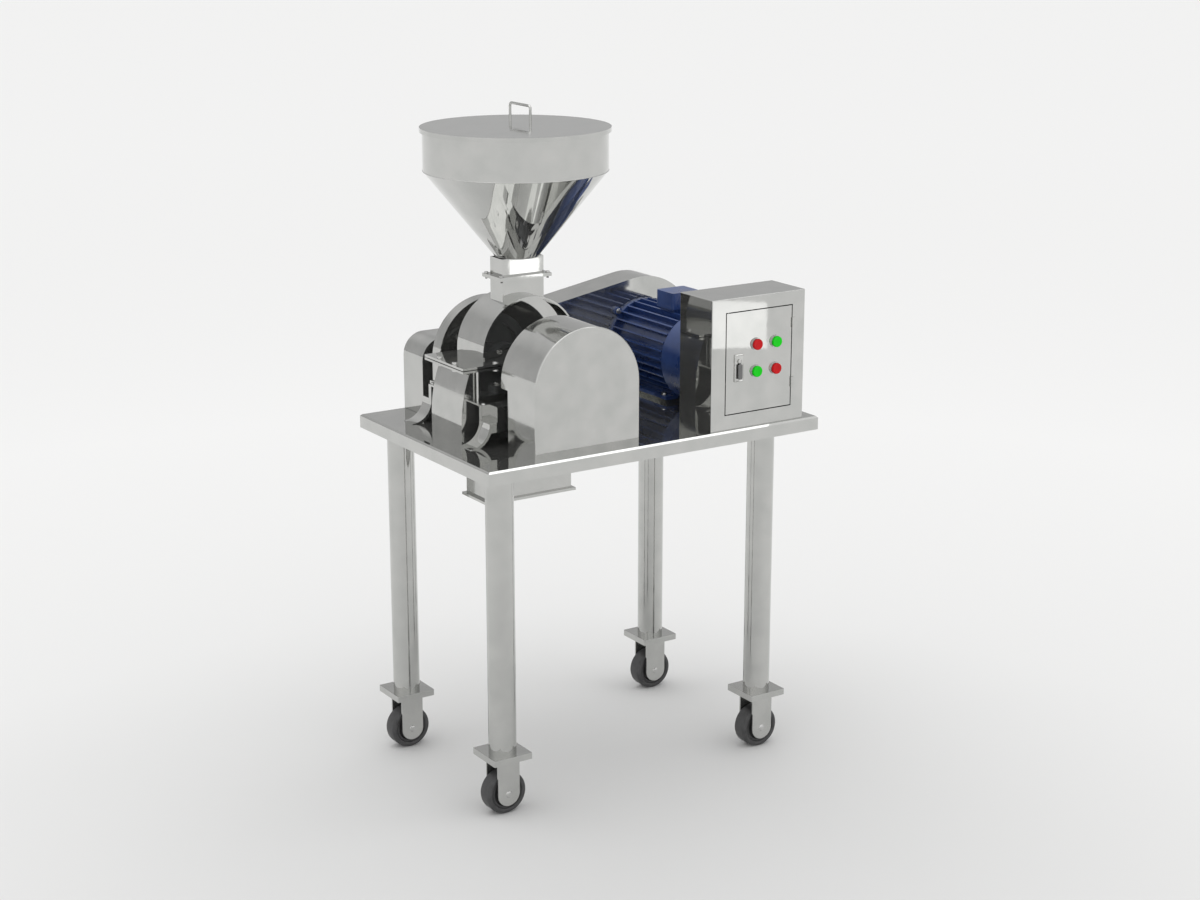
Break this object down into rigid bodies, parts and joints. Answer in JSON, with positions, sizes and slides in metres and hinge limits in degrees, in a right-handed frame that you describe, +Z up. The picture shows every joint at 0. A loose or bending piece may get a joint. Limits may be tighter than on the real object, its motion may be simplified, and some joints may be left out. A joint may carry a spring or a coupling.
{
  "type": "hammer mill",
  "caption": "Belt-driven hammer mill on a wheeled stainless table, with a lidded round hopper, split casing, finned motor, belt guard and push-button control box.",
  "frame": {"origin": "centre of the table's outline in plan, at floor level under the wheels", "axes": "+X along the table's long side from the mill towards the motor, +Y from the operator's side to the belt guard, +Z up; the rotor and motor shafts lie along +Y"},
  "size_m": [0.89, 0.6, 1.548],
  "materials": {
    "stainless": "mirror-polished stainless sheet",
    "fastener_steel": "polished",
    "machined_steel": "turned and ground",
    "bearing_steel": "ground",
    "cast_iron": "painted casting",
    "motor_blue": "gloss enamel",
    "fan_plastic": "moulded",
    "rubber": "satin",
    "tyre": "satin",
    "button_red": "gloss",
    "button_green": "gloss"
  },
  "bodies": {
    "frame": {"table_top": "stainless", "lower_casing": "stainless", "upper_casing": "stainless", "bearing_stands": "stainless", "bearing_cover": "stainless", "flywheel_cover": "stainless", "belt_guard": "stainless", "belt_guard_plate": "stainless", "control_box": "stainless", "hopper": "stainless", "hopper_neck": "stainless", "discharge_chute": "stainless", "door_hinges": "stainless", "leg_front_left": "stainless", "caster_fork_front_left": "stainless", "leg_rear_left": "stainless", "caster_fork_rear_left": "stainless", "leg_front_right": "stainless", "caster_fork_front_right": "stainless", "leg_rear_right": "stainless", "caster_fork_rear_right": "stainless", "caster_fasteners": "fastener_steel", "casing_bolts": "fastener_steel", "mounting_bolts": "fastener_steel", "casing_gasket": "rubber", "drive_belts": "rubber", "sizing_screen": "machined_steel", "bearing_housings": "cast_iron", "bearing_inserts": "bearing_steel", "motor_frame": "motor_blue", "motor_shields": "motor_blue", "fan_cowl": "motor_blue", "terminal_box": "motor_blue", "motor_base": "stainless"},
    "rotor": {"rotor_shaft": "machined_steel", "rotor_discs": "machined_steel", "hammer_pins": "machined_steel", "flywheel": "cast_iron", "mill_pulley": "cast_iron"},
    "motor_rotor": {"motor_shaft": "machined_steel", "motor_fan": "fan_plastic", "motor_pulley": "cast_iron"},
    "door": {"control_door": "stainless", "button_bezels": "stainless", "latch_plate": "stainless"},
    "latch": {"latch_lever": "stainless"},
    "lid": {"hopper_lid": "stainless", "lid_handle": "stainless"},
    "hammers_1": {"hammer_row_1": "machined_steel"},
    "button_1": {"push_button_1": "button_red"},
    "hammers_2": {"hammer_row_2": "machined_steel"},
    "button_2": {"push_button_2": "button_green"},
    "hammers_3": {"hammer_row_3": "machined_steel"},
    "button_3": {"push_button_3": "button_green"},
    "hammers_4": {"hammer_row_4": "machined_steel"},
    "button_4": {"push_button_4": "button_red"},
    "wheel_front_left": {"caster_wheel_front_left": "tyre"},
    "wheel_rear_left": {"caster_wheel_rear_left": "tyre"},
    "wheel_front_right": {"caster_wheel_front_right": "tyre"},
    "wheel_rear_right": {"caster_wheel_rear_right": "tyre"}
  },
  "joints": [
    {"name": "motor_spin", "type": "hinge", "parent": "frame", "child": "motor_rotor", "pos_m": [0.29, 0.1, 0.942], "axis": [0, 1, 0], "continuous": true},
    {"name": "rotor_spin", "type": "hinge", "parent": "frame", "child": "rotor", "pos_m": [-0.177, 0.04, 0.965], "axis": [0, 1, 0], "continuous": true},
    {"name": "hammer_swing_1", "type": "hinge", "parent": "rotor", "child": "hammers_1", "pos_m": [-0.13457, 0.04, 1.00743], "axis": [0, 1, 0], "range_deg": [-40, 40]},
    {"name": "hammer_swing_2", "type": "hinge", "parent": "rotor", "child": "hammers_2", "pos_m": [-0.21943, 0.04, 1.00743], "axis": [0, 1, 0], "range_deg": [-40, 40]},
    {"name": "hammer_swing_3", "type": "hinge", "parent": "rotor", "child": "hammers_3", "pos_m": [-0.21943, 0.04, 0.92257], "axis": [0, 1, 0], "range_deg": [-40, 40]},
    {"name": "hammer_swing_4", "type": "hinge", "parent": "rotor", "child": "hammers_4", "pos_m": [-0.13457, 0.04, 0.92257], "axis": [0, 1, 0], "range_deg": [-40, 40]},
    {"name": "wheel_spin_front_left", "type": "hinge", "parent": "frame", "child": "wheel_front_left", "pos_m": [-0.37, -0.215, 0.05], "axis": [0, 1, 0], "continuous": true},
    {"name": "wheel_spin_rear_left", "type": "hinge", "parent": "frame", "child": "wheel_rear_left", "pos_m": [-0.37, 0.242, 0.05], "axis": [0, 1, 0], "continuous": true},
    {"name": "wheel_spin_front_right", "type": "hinge", "parent": "frame", "child": "wheel_front_right", "pos_m": [0.343, -0.215, 0.05], "axis": [0, 1, 0], "continuous": true},
    {"name": "wheel_spin_rear_right", "type": "hinge", "parent": "frame", "child": "wheel_rear_right", "pos_m": [0.343, 0.242, 0.05], "axis": [0, 1, 0], "continuous": true},
    {"name": "door_swing", "type": "hinge", "parent": "frame", "child": "door", "pos_m": [0.37, -0.2925, 0.984], "axis": [0, 0, 1], "range_deg": [0, 110]},
    {"name": "latch_turn", "type": "hinge", "parent": "door", "child": "latch", "pos_m": [0.219, -0.292, 0.988], "axis": [0, 1, 0], "range_deg": [-90, 0]},
    {"name": "button_press_1", "type": "slide", "parent": "door", "child": "button_1", "axis": [0, 1, 0], "range_m": [0, 0.004], "stiffness_N_per_m": 400, "springref_m": -0.002},
    {"name": "button_press_2", "type": "slide", "parent": "door", "child": "button_2", "axis": [0, 1, 0], "range_m": [0, 0.004], "stiffness_N_per_m": 400, "springref_m": -0.002},
    {"name": "button_press_3", "type": "slide", "parent": "door", "child": "button_3", "axis": [0, 1, 0], "range_m": [0, 0.004], "stiffness_N_per_m": 400, "springref_m": -0.002},
    {"name": "button_press_4", "type": "slide", "parent": "door", "child": "button_4", "axis": [0, 1, 0], "range_m": [0, 0.004], "stiffness_N_per_m": 400, "springref_m": -0.002},
    {"name": "lid_lift", "type": "slide", "parent": "frame", "child": "lid", "axis": [0, 0, 1], "range_m": [0, 0.15]}
  ],
  "couplings": [
    {"joint": "rotor_spin", "follows": "motor_spin", "ratio": 2.3494}
  ]
}
